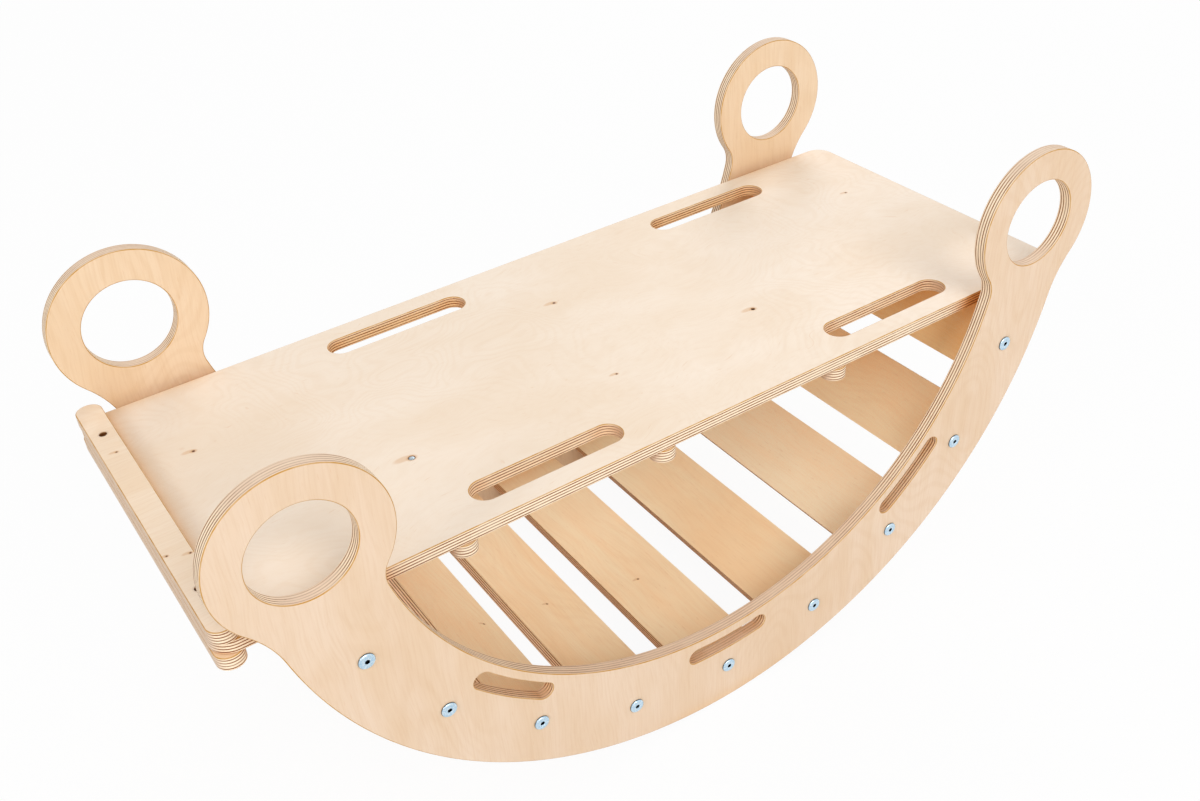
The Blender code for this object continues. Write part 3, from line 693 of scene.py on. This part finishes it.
def wood_material(name, wood):
    """Plywood with veneered faces, plies on its cut edges, burnished arrises and painted shade where it is
    enclosed.
    """
    material = bpy.data.materials.new(name)
    material.use_nodes = True
    tree = material.node_tree
    shader = tree.nodes["Principled BSDF"]
    place = node(tree, "TexCoord")
    axes = node(tree, "SeparateXYZ", [place.outputs["Object"]])
    order = ("Y", "X") if wood.grain == "Y" else ("X", "Y")
    swapped = node(tree, "CombineXYZ", [axes.outputs[order[0]], axes.outputs[order[1]], axes.outputs["Z"]])
    point = vectors(tree, "ADD", swapped.outputs[0], (wood.seed, 2 * wood.seed, 3 * wood.seed))
    flat_point = node(tree, "CombineXYZ", [axes.outputs["X"], axes.outputs["Y"], 0.0]).outputs[0]
    normal = node(tree, "SeparateXYZ", [place.outputs["Normal"]])
    upright = maths(tree, "ABSOLUTE", normal.outputs["Z"])

    facing_up = ramp(tree, normal.outputs["Z"], -0.6, -0.3)
    veneer, fine = face_colour(tree, wood, point, flat_point, facing_up)
    plies, ends = edge_colour(tree, wood, point, axes.outputs["Z"], normal)
    on_face = ramp(tree, upright, 0.45, 0.93)
    colour = mixed(tree, on_face, plies, veneer)
    rim = maths(tree, "MULTIPLY", ramp(tree, upright, 0.20, 0.60), ramp(tree, upright, 0.95, 0.999, 1.0, 0.0))
    worn = ramp(tree, noise(tree, point, WEAR, 2.0), 0.35, 0.65, 0.70, 1.0)
    colour = mixed(tree, maths(tree, "MULTIPLY", rim, worn), colour, ARRIS_TONE)
    depth = maths(tree, "SUBTRACT", PLY_STACK / 2, axes.outputs["Z"])
    # A hole's dark rim, and painted shade that deepens with depth inside it
    inside = maths(tree, "MULTIPLY", ramp(tree, depth, 0.0001, 0.0012, 0.35, 1.0), facing_up)
    for x, y, radius in wood.holes:
        hole_darkening = spot_mask(tree, flat_point, (x, y), (HOLE_RIM_AND_SHADE_REACH * radius, HOLE_RIM_AND_SHADE_REACH * radius))
        colour = mixed(tree, maths(tree, "MULTIPLY", hole_darkening, inside), colour, HOLE_RIM_AND_SHADE)
    # Painted shade: a darker, warmer tint and darker cross plies where little open air is found within reach
    shade = wood.shade
    open_air = node(tree, "AmbientOcclusion", {"Distance": shade.reach}, samples=6).outputs["AO"]
    painted_shade = ramp(tree, open_air, shade.closed, shade.free, 1.0, 0.0)
    tint = mixed(tree, on_face, srgb(*shade.edge), srgb(*shade.face))
    colour = mixed(tree, painted_shade, colour, tint, "MULTIPLY")
    colour = mixed(tree, times(tree, painted_shade, ends, PAINTED_SHADE_PLIES), colour, CROSS_PLY_END)
    # Painted shade on the walls of the slots within the middle region, weaker on the near side
    if wood.slots_within:
        slot_shade = maths(tree, "SUBTRACT", ramp(tree, depth, 0.0, 0.007, 0.25, 1.0), on_face)
        slot_shade = maths(tree, "MULTIPLY", slot_shade, ramp(tree, axes.outputs["Y"], -0.05, 0.05, 0.35, 1.0))
        for axis, limit in zip("XY", wood.slots_within):
            off_middle = maths(tree, "ABSOLUTE", axes.outputs[axis])
            slot_shade = maths(tree, "MULTIPLY", slot_shade, maths(tree, "LESS_THAN", off_middle, limit))
        colour = mixed(tree, maths(tree, "MAXIMUM", slot_shade, 0.0), colour, SLOT_WALL_PAINTED_SHADE, "MULTIPLY")
    tree.links.new(colour, shader.inputs["Base Color"])

    shader.inputs["Specular IOR Level"].default_value = WOOD_SPECULAR
    rough = maths(tree, "ADD", ramp(tree, fine, 0.3, 0.7, *WOOD_ROUGHNESS),
                  maths(tree, "MULTIPLY", maths(tree, "SUBTRACT", 1.0, on_face), CUT_ROUGHNESS))
    tree.links.new(rough, shader.inputs["Roughness"])
    pores = times(tree, fine, PORE_RELIEF, on_face)
    height = maths(tree, "ADD", maths(tree, "MULTIPLY", ends, CROSS_PLY_RELIEF), pores)
    bump = node(tree, "Bump", {"Strength": 0.25, "Distance": 0.0003, "Height": height})
    tree.links.new(bump.outputs[0], shader.inputs["Normal"])
    return material


def metal_material(name, colour, film_colour, roughness, shadow_below=None):
    """Plated steel with a mottled film and fine scratches.

    Below the height shadow_below, if given, the socket gets painted shade. Then the sides of the head get
    painted shade too.
    """
    material = bpy.data.materials.new(name)
    material.use_nodes = True
    tree = material.node_tree
    shader = tree.nodes["Principled BSDF"]
    shader.inputs["Metallic"].default_value = 1.0
    point = node(tree, "TexCoord").outputs["Object"]
    film = ramp(tree, noise(tree, point, METAL_FILM, 3.0), 0.35, 0.7)
    scratches = noise(tree, point, SCRATCHES, 2.0)
    tone = mixed(tree, film, srgb(*colour), srgb(*film_colour))
    if shadow_below is not None:
        upward = node(tree, "SeparateXYZ", [node(tree, "TexCoord").outputs["Normal"]]).outputs["Z"]
        # Painted shade on the sides of the head
        tone = mixed(tree, ramp(tree, upward, 0.1, 0.8, 0.92, 0.0), tone, HEAD_SIDE_PAINTED_SHADE)
        # Painted shade in the socket, below shadow_below
        axes = node(tree, "SeparateXYZ", [point])
        flat = node(tree, "CombineXYZ", [axes.outputs["X"], axes.outputs["Y"], 0.0]).outputs[0]
        inside = spot_mask(tree, flat, (0.0, 0.0), (2 * SOCKET_RADIUS, 2 * SOCKET_RADIUS))
        deep = ramp(tree, axes.outputs["Z"], shadow_below - SOCKET_SHADE_HEIGHT, shadow_below, 1.0, 0.0)
        tone = mixed(tree, maths(tree, "MULTIPLY", inside, deep), tone, SOCKET_PAINTED_SHADE)
    tree.links.new(tone, shader.inputs["Base Color"])
    rough = ramp(tree, scratches, 0.3, 0.7, *[roughness + change for change in METAL_ROUGHNESS])
    tree.links.new(rough, shader.inputs["Roughness"])
    bump = node(tree, "Bump", {"Strength": 0.15, "Distance": 0.0001, "Height": scratches})
    tree.links.new(bump.outputs[0], shader.inputs["Normal"])
    return material


# Pieces


def put(name, mesh, matrix, material, body, replaced=()):
    """Piece in its place, riding on a body."""
    mesh = mesh.copy()
    mesh.name = name
    mesh.materials.clear()
    mesh.materials.append(material)
    obj = bpy.data.objects.new(name, mesh)
    bpy.context.scene.collection.objects.link(obj)
    obj.matrix_world = matrix
    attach(obj, body)
    if replaced:
        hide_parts(*replaced)


def across(side, x=0.0):
    """Frame with Z along +Y or -Y."""
    return Matrix.Translation((x, 0, 0)) @ Matrix.Rotation(-side * math.pi / 2, 4, "X")


def slat_frame(angle):
    """World frame of a slat: X across its width, Y along it, Z towards the runner's centre."""
    middle = polar(angle, BOLT_CIRCLE_RADIUS)
    return Matrix.Translation((middle.x, 0.0, middle.y + CENTRE_HEIGHT)) @ Matrix.Rotation(-angle, 4, "Y")


SLAT_ANGLES = [math.radians(SLAT_PITCH) * (i - (SLAT_COUNT - 1) / 2) for i in range(SLAT_COUNT)]
NEAR_LOW, NEAR_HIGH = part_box("side_panel_near")
HALF_CLEAR_WIDTH = -NEAR_HIGH.y
SLAT_END = HALF_CLEAR_WIDTH - CLEARANCE


def panel_mesh():
    """Side panel about the runner's centre, its inner face down, with the blind holes of the dowels."""
    plate = Plate(PLY_STACK)
    plate.wall(panel_outline())
    ring = polar(math.radians(RING_ANGLE), RING_CENTRE_RADIUS)
    for x in (-ring.x, ring.x):
        plate.wall(circle(Vector((x, ring.y)), RING_HOLE_RADIUS))
    for angle in (-HAND_SLOT_ANGLE, 0.0, HAND_SLOT_ANGLE):
        plate.wall(hand_slot(angle))
    half = PLY_STACK / 2
    dowel_hole = DOWEL_RADIUS + CLEARANCE
    for angle in SLAT_ANGLES:
        middle = polar(angle, BOLT_CIRCLE_RADIUS)
        tangent = Vector((math.cos(angle), math.sin(angle)))
        plate.bore(middle, [(BOLT_BORE_RADIUS, -half), (BOLT_BORE_RADIUS, half)])
        for offset in (-DOWEL_OFFSET, DOWEL_OFFSET):
            depth = -half + DOWEL_LENGTH + CLEARANCE
            plate.bore(middle + offset * tangent, [(dowel_hole, -half), (dowel_hole, depth), (0, depth)])
    return plate.mesh("side_panel")


def slat_mesh():
    """Slat with its glued-in dowels, bored for the bolts and the barrel nuts."""
    tip = SLAT_END + DOWEL_LENGTH
    dowels = [cylinder(DOWEL_RADIUS, -tip, tip, across(1, x)) for x in (-DOWEL_OFFSET, DOWEL_OFFSET)]
    cuts = []
    for side in (-1, 1):
        bore_end = SLAT_END - BOLT_LENGTH + PLY_STACK
        cuts.append(cylinder(BOLT_BORE_RADIUS, bore_end, SLAT_END + ARRIS, across(side)))
        spot = Matrix.Translation((0, side * (SLAT_END - NUT_INSET), 0))
        cuts.append(cylinder(NUT_RADIUS + CLEARANCE, -PLY_STACK, PLY_STACK / 2 - NUT_SKIN, spot))
    return carved("slat", block((SLAT_WIDTH, 2 * SLAT_END, PLY_STACK)), dowels, cuts, bevel=ARRIS)


def bolt_mesh():
    """Flat-headed bolt with a hexagonal socket, its seat at z = 0 and its head up."""
    high = BOLT_HEAD_HEIGHT
    radius = BOLT_HEAD_RADIUS
    socket = SOCKET_RADIUS
    profile = [(share * socket, high - SOCKET_DEPTH - depth) for share, depth in SOCKET_TIP]
    profile += [(socket, high - SOCKET_DEPTH), (socket, high - SOCKET_ARRIS), (socket + SOCKET_ARRIS, high),
                (socket + SOCKET_LAND, high)]
    profile += [(radius - inset, high - drop) for inset, drop in HEAD_DOME]
    profile += [(radius, 0.0), (BOLT_SHANK_RADIUS, 0.0), (BOLT_SHANK_RADIUS, -BOLT_LENGTH), (0, -BOLT_LENGTH)]
    return carved("side_bolt", turned(profile, HEAD_SIDES, corners_of=(2, 3, 4)))


def nut_mesh():
    """Barrel nut along Z, cross-bored for its bolt, with a driver slot in its outer end."""
    low = -PLY_STACK / 2 + NUT_SINK
    profile = [(0, low), (NUT_RADIUS - NUT_CHAMFER, low), (NUT_RADIUS, low + NUT_CHAMFER),
               (NUT_RADIUS, low + NUT_LENGTH), (0, low + NUT_LENGTH)]
    bore = cylinder(BOLT_SHANK_RADIUS + CLEARANCE, -2 * NUT_RADIUS, 2 * NUT_RADIUS, across(1))
    slot = block((NUT_SLOT_WIDTH, 4 * NUT_RADIUS, 2 * NUT_SLOT_DEPTH), Matrix.Translation((0, 0, low)))
    return carved("barrel_nut", turned(profile, HEAD_SIDES), cuts=[bore, slot])


def screw_mesh(name, length):
    """Wood screw with a flat seat at z = 0, its point down, with a cross recess."""
    top = SCREW_HEAD_HEIGHT
    crest = SCREW_SHANK_RADIUS
    core = SCREW_CORE * crest
    rows = [(0, -length), (crest * 0.5, -length + SCREW_POINT * 0.5)]
    for i in range(int((length - SCREW_POINT) / SCREW_PITCH)):
        height = -length + SCREW_POINT + i * SCREW_PITCH
        rows += [(core, height), (crest, height + SCREW_FLANK), (core, height + 2 * SCREW_FLANK)]
    rows += [(core, 0.0)]
    rows += [(SCREW_HEAD_RADIUS - inset, height) for inset, height in SCREW_HEAD_EDGE]
    rows += [(0, top)]
    recess = [block((RECESS_WIDTH, RECESS_LENGTH, RECESS_HEIGHT), Matrix.Translation((0, 0, top))),
              block((RECESS_LENGTH, RECESS_WIDTH, RECESS_HEIGHT), Matrix.Translation((0, 0, top)))]
    return carved(name, turned(rows, SCREW_SIDES), cuts=recess)


def build_rocker(metal, nut_metal):
    """Panels, slats, bolts and barrel nuts."""
    panel = panel_mesh()
    y = (NEAR_LOW.y + NEAR_HIGH.y) / 2
    near = Matrix.Translation((0, y, CENTRE_HEIGHT)) @ Matrix.Rotation(math.pi / 2, 4, "X")
    far = Matrix.Rotation(math.pi, 4, "Z") @ near
    for word, matrix, seed in (("near", near, 1.3), ("far", far, 4.1)):
        wood = Wood(PANEL_TONES[word], grain="Y", seed=seed, strength=1.0, shade=PANEL_SHADES[word])
        material = wood_material(f"plywood_panel_{word}", wood)
        put(f"panel_{word}", panel, matrix, material, "rocker", [f"side_panel_{word}"])
    slat = slat_mesh()
    bolt = bolt_mesh()
    nut = nut_mesh()
    seat = HALF_CLEAR_WIDTH + PLY_STACK + CLEARANCE
    for i, angle in enumerate(SLAT_ANGLES, start=1):
        frame_here = slat_frame(angle)
        wood = Wood(SLAT_TONES.get(i, SLAT_TONES[0]), grain="Y", seed=7.0 + 1.7 * i, strength=0.6,
                    shade=SLAT_SHADE, knots=SLAT_KNOTS.get(i, ()), edge=SLAT_EDGE_PAINTED_SHADE)
        material = wood_material(f"plywood_slat_{i}", wood)
        put(f"cross_slat_{i}", slat, frame_here, material, "rocker", [f"slat_{i}"])
        for word, side in (("near", -1), ("far", 1)):
            spot = frame_here @ across(side) @ Matrix.Translation((0, 0, seat))
            spin = Matrix.Rotation(math.radians(BOLT_SPIN * i + SIDE_SPIN * side), 4, "Z")
            put(f"bolt_{word}_{i}", bolt, spot @ spin, metal, "rocker",
                [f"side_bolt_{word}_{i}"])
            spot = frame_here @ Matrix.Translation((0, side * (SLAT_END - NUT_INSET), 0))
            put(f"nut_{word}_{i}", nut, spot, nut_metal, "rocker",
                [f"barrel_nut_{word}_{i}"])


def bar_mesh(name, length, width, bores):
    """Bar across the board with round ends, with its turned bores."""
    plate = Plate(PLY_STACK)
    plate.wall(stadium(Vector((0.0, 0.0)), length, width, math.pi / 2))
    for centre, profile in bores:
        plate.bore(centre, profile)
    return plate.mesh(name)


def middle_of(node_name):
    """Middle of a CAD node's box."""
    low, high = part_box(node_name)
    return (low + high) / 2


def build_board(metal, tip_metal):
    """Board, batten, rungs and screws."""
    low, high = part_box("board")
    middle = (low + high) / 2
    half_length = (high.x - low.x) / 2
    half_width = (high.y - low.y) / 2
    half = PLY_STACK / 2
    screw_y = half_width - BATTEN_SCREW_INSET
    first_x = middle_of("rung_1").x
    hole = SCREW_SHANK_RADIUS + CLEARANCE
    seat = SCREW_HEAD_RADIUS + CLEARANCE

    plate = Plate(PLY_STACK)
    plate.wall(rounded_rectangle(half_length, half_width, BOARD_CORNER_RADIUS))
    left = (middle_of("rung_2").x + middle_of("rung_3").x) / 2 - middle.x
    slot_y = half_width - GRIP_SLOT_WALL - GRIP_SLOT_WIDTH / 2
    for x in (left, left + GRIP_SLOT_SPACING):
        for y in (-slot_y, slot_y):
            plate.wall(stadium(Vector((x, y)), GRIP_SLOT_LENGTH, GRIP_SLOT_WIDTH)[::-1])
    for y in (-screw_y, screw_y):
        plate.bore((first_x - middle.x, y), [(hole, -half), (hole, half)])
    for i in (2, 3, 4):
        depth = -half + SCREW_BITE + CLEARANCE
        plate.bore((middle_of(f"rung_{i}").x - middle.x, 0.0), [(hole, -half), (hole, depth), (0, depth)])
    pit = Vector(PILOT_HOLE) - middle.xy
    floor = half - PILOT_HOLE_DEPTH
    plate.bore(pit, [(0, floor - PILOT_HOLE_POINT), (PILOT_HOLE_RADIUS * PILOT_HOLE_TAPER, floor),
                     (PILOT_HOLE_RADIUS, half)])
    tip = Vector(SCREW_TIP) - middle.xy
    bed = half - SCREW_TIP_BED
    plate.bore(tip, [(0, bed), (SCREW_TIP_RADIUS, bed), (SCREW_TIP_RADIUS + SCREW_TIP_RIM, half)])

    knots = [(x - middle.x, y - middle.y, radius) for x, y, radius in BOARD_KNOTS]
    holes = [(*tip, SCREW_TIP_RADIUS), (*pit, PILOT_HOLE_RADIUS)]
    inside = (half_length - GRIP_SLOT_WALL / 2, half_width - GRIP_SLOT_WALL / 2)
    wood = Wood(BOARD_TONES, grain="X", seed=31.0, strength=0.5, shade=BOARD_SHADE, knots=knots,
                holes=holes, slots_within=inside, figure=WHORLED)
    put("lift_board", plate.mesh("lift_board"), Matrix.Translation(middle),
        wood_material("plywood_board", wood), "lift_board", ["board"])

    length = 2 * (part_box("rung_1")[1].y - middle_of("rung_1").y)
    width = 2 * (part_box("rung_1")[1].x - first_x)
    ends = [(0, -screw_y), (0, screw_y)]
    counterbore = half - BATTEN_COUNTERBORE
    through = [(hole, -half), (hole, counterbore), (seat, counterbore), (seat, half)]
    blind = [(0, half - SCREW_BITE), (hole, half - SCREW_BITE), (hole, half)]
    below = [(seat, -half), (seat, -half + RUNG_COUNTERBORE), (hole, -half + RUNG_COUNTERBORE), (hole, half)]
    bars = [("top_batten", "batten", [(end, through) for end in ends]),
            ("rung_1", "end_rung", [(end, blind) for end in ends])]
    bars += [(f"rung_{i}", f"cross_rung_{i}", [((0, 0), below)]) for i in (2, 3, 4)]
    for number, (node_name, name, bores) in enumerate(bars):
        knots = BATTEN_KNOTS if name == "batten" else []
        holes = [(*end, seat) for end in ends] if name == "batten" else []
        wood = Wood(BAR_TONES, grain="X", seed=41.0 + 3 * number, strength=0.8, shade=BAR_SHADE,
                    knots=knots, holes=holes)
        put(name, bar_mesh(name, length, width, bores), Matrix.Translation(middle_of(node_name)),
            wood_material(f"plywood_{name}", wood), "lift_board", [node_name])

    long_screw = screw_mesh("long_screw", 2 * PLY_STACK - BATTEN_COUNTERBORE + SCREW_BITE)
    short_screw = screw_mesh("short_screw", PLY_STACK - RUNG_COUNTERBORE + SCREW_BITE)
    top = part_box("top_batten")[1].z - BATTEN_COUNTERBORE + CLEARANCE
    for word, side in (("near", -1), ("far", 1)):
        spot = Matrix.Translation((first_x, middle.y + side * screw_y, top))
        put(f"screw_{word}", long_screw, spot, metal, "lift_board",
            [f"batten_screw_{word}"])
    upside_down = Matrix.Rotation(math.pi, 4, "X")
    for i in (2, 3, 4):
        rung = middle_of(f"rung_{i}")
        seat_height = rung.z - half + RUNG_COUNTERBORE - CLEARANCE
        spot = Matrix.Translation((rung.x, rung.y, seat_height)) @ upside_down
        put(f"screw_{i}", short_screw, spot, metal, "lift_board", [f"rung_screw_{i}"])
    point = carved("screw_point", turned(SCREW_TIP_PROFILE, POINT_SIDES))
    spot = Matrix.Translation((*SCREW_TIP, high.z))
    put("screw_point", point, spot, tip_metal, "lift_board")


# Stage


def shown_rays(tree):
    """1 for what the camera, a reflection or clear glass sees, otherwise 0."""
    path = node(tree, "LightPath")
    seen = maths(tree, "MAXIMUM", path.outputs["Is Camera Ray"], path.outputs["Is Glossy Ray"])
    return maths(tree, "MAXIMUM", seen, path.outputs["Is Transmission Ray"])


def build_stage():
    """Pale floor, white surroundings, soft lamps and the camera."""
    mesh = bpy.data.meshes.new("floor")
    half = FLOOR_SIZE / 2
    corners = [(-half, -half, 0), (half, -half, 0), (half, half, 0), (-half, half, 0)]
    mesh.from_pydata(corners, [], [(0, 1, 2, 3)])
    floor = bpy.data.objects.new("floor", mesh)
    bpy.context.scene.collection.objects.link(floor)
    material = bpy.data.materials.new("floor")
    material.use_nodes = True
    tree = material.node_tree
    shader = tree.nodes["Principled BSDF"]
    shader.inputs["Base Color"].default_value = (FLOOR_TONE, FLOOR_TONE, FLOOR_TONE, 1.0)
    shader.inputs["Roughness"].default_value = FLOOR_ROUGHNESS
    shader.inputs["Specular IOR Level"].default_value = 0.0
    glow = node(tree, "Emission", {"Color": (1, 1, 1, 1), "Strength": 1.0})
    share = maths(tree, "MULTIPLY", shown_rays(tree), FLOOR_GLOW)
    blended = node(tree, "MixShader", [share, shader.outputs[0], glow.outputs[0]])
    tree.links.new(blended.outputs[0], tree.nodes["Material Output"].inputs["Surface"])
    mesh.materials.append(material)

    world = bpy.data.worlds.new("studio")
    bpy.context.scene.world = world
    world.use_nodes = True
    tree = world.node_tree
    background = tree.nodes["Background"]
    background.inputs["Color"].default_value = (1.0, 1.0, 1.0, 1.0)
    strength = maths(tree, "MULTIPLY_ADD", shown_rays(tree), 1.0 - WORLD_LIGHT, WORLD_LIGHT)
    tree.links.new(strength, background.inputs["Strength"])

    for name, place, target, size, power in LAMPS:
        light = bpy.data.lights.new(name, "AREA")
        light.shape = "DISK"
        light.size = size
        light.energy = power
        lamp = bpy.data.objects.new(name, light)
        bpy.context.scene.collection.objects.link(lamp)
        lamp.location = place
        lamp.rotation_euler = (Vector(target) - Vector(place)).to_track_quat("-Z", "Y").to_euler()

    data = bpy.data.cameras.new("camera")
    data.lens = CAMERA_LENS
    camera = bpy.data.objects.new("camera", data)
    bpy.context.scene.collection.objects.link(camera)
    camera.location = CAMERA_PLACE
    camera.rotation_euler = [math.radians(turn) for turn in CAMERA_TURN]
    bpy.context.scene.camera = camera


bpy.context.scene.view_settings.view_transform = "Standard"
zinc = metal_material("zinc_bolt", (180, 212, 234), (224, 238, 246), roughness=0.30,
                      shadow_below=BOLT_HEAD_HEIGHT)
nut_zinc = metal_material("zinc_nut", (214, 220, 226), (186, 194, 204), roughness=0.34)
# Screws in darker steel than the bolts, and darker still as painted shade of the counterbores they sit in
screw_zinc = metal_material("zinc_screw", (110, 120, 130), (60, 66, 74), roughness=0.38)
tip_zinc = metal_material("zinc_tip", (190, 200, 204), (128, 144, 156), roughness=0.40)
build_rocker(zinc, nut_zinc)
build_board(screw_zinc, tip_zinc)
build_stage()
